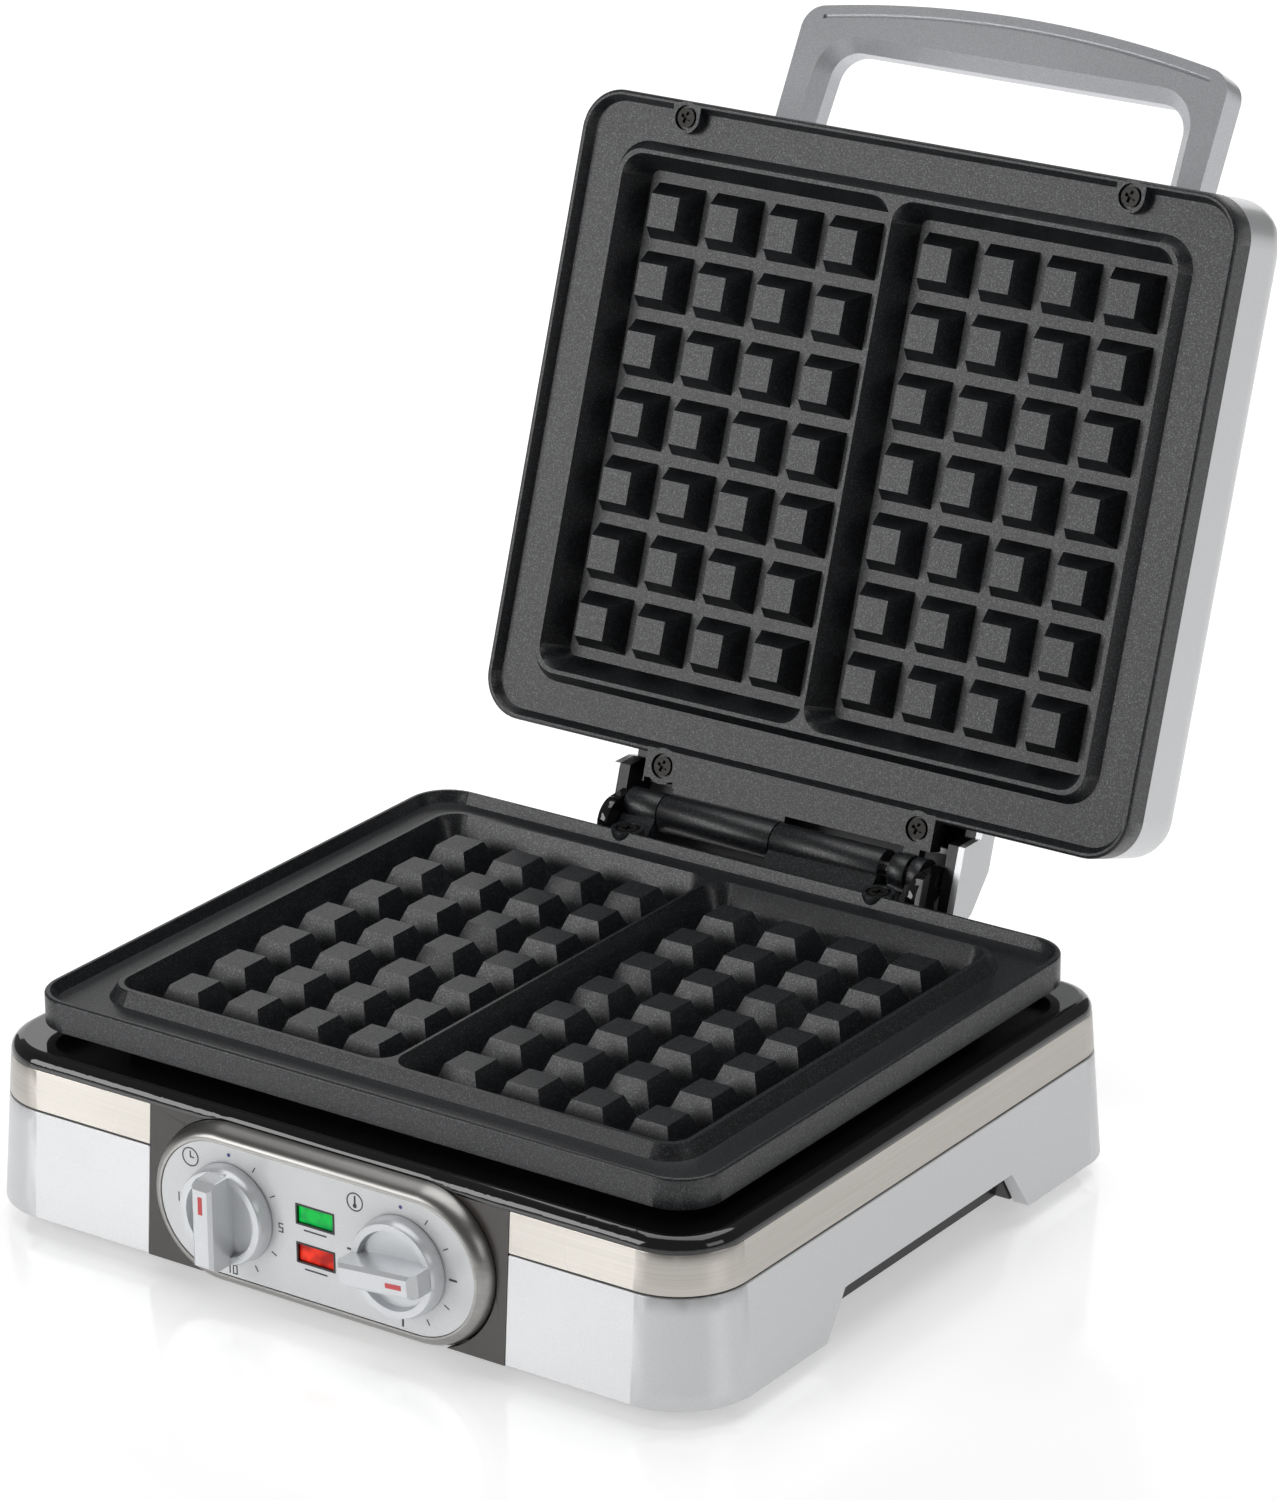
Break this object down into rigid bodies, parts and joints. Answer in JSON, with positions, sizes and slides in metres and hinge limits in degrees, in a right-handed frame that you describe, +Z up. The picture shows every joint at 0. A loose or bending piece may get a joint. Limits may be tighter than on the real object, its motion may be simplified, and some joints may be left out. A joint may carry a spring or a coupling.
{
  "type": "waffle maker",
  "caption": "Hinged waffle maker standing open, with two gridded cooking plates, a silver lid with a U-shaped handle, and a front dial field with a timer knob, a thermostat knob and two lamps.",
  "frame": {"origin": "on the table, under the middle of the open appliance's bounding box", "axes": "+Z up, -Y towards the user, +X to the user's right, hinge line along X"},
  "size_m": [0.296, 0.447, 0.3418],
  "materials": {
    "silver_paint": "satin silver paint",
    "brushed_band": "brushed",
    "black_gloss": "glossy black",
    "panel_brown": "semi-gloss dark brown",
    "black_matte": "matte black",
    "rubber_black": "soft black",
    "zinc": "zinc plated",
    "nonstick": "dark speckled non-stick coating",
    "element_steel": "heat-tinted tube",
    "bright_sheet": "bright sheet",
    "steel_pin": "ground steel",
    "bezel_metal": "rolled metal",
    "dial_silver": "satin white-silver",
    "lamp_green": "translucent green",
    "lamp_red": "translucent red",
    "pointer_red": "red print",
    "ceramic": "white ceramic",
    "lead_sleeve": "glass-fibre sleeving"
  },
  "bodies": {
    "base": {"base_housing": "silver_paint", "trim_band": "brushed_band", "deck": "black_gloss", "front_panel": "panel_brown", "bottom_cover": "black_matte", "rubber_feet": "rubber_black", "bottom_screws": "zinc", "lower_plate": "nonstick", "lower_plate_screws": "zinc", "lower_element": "element_steel", "lower_reflector": "bright_sheet", "hinge_pin": "steel_pin", "control_bezel": "bezel_metal", "dial_plate": "dial_silver", "lamp_frames": "black_matte", "ready_lamp": "lamp_green", "power_lamp": "lamp_red", "timer_mechanism": "zinc", "thermostat_switch": "zinc", "thermostat_probe": "bright_sheet", "thermal_fuse": "zinc", "terminal_block": "ceramic", "wiring": "lead_sleeve", "cord_gland": "black_matte"},
    "timer_dial": {"timer_knob": "silver_paint", "timer_pointer": "pointer_red", "timer_shaft": "steel_pin"},
    "thermostat_dial": {"thermostat_knob": "silver_paint", "thermostat_pointer": "pointer_red", "thermostat_shaft": "steel_pin"},
    "lid": {"lid_shell": "silver_paint", "lid_liner": "black_matte", "lid_plate": "nonstick", "lid_plate_screws": "zinc", "lid_element": "element_steel", "lid_reflector": "bright_sheet", "handle": "silver_paint", "handle_screws": "zinc"}
  },
  "joints": [
    {"name": "lid_hinge", "type": "hinge", "parent": "base", "child": "lid", "pos_m": [0, 0.05798, 0.0795], "axis": [1, 0, 0], "range_deg": [0, 108.3]},
    {"name": "timer_turn", "type": "hinge", "parent": "base", "child": "timer_dial", "pos_m": [-0.0345, -0.20892, 0.0326], "axis": [0, 1, 0], "range_deg": [0, 270]},
    {"name": "thermostat_turn", "type": "hinge", "parent": "base", "child": "thermostat_dial", "pos_m": [0.0345, -0.20892, 0.0326], "axis": [0, 1, 0], "range_deg": [-85, 185]}
  ]
}
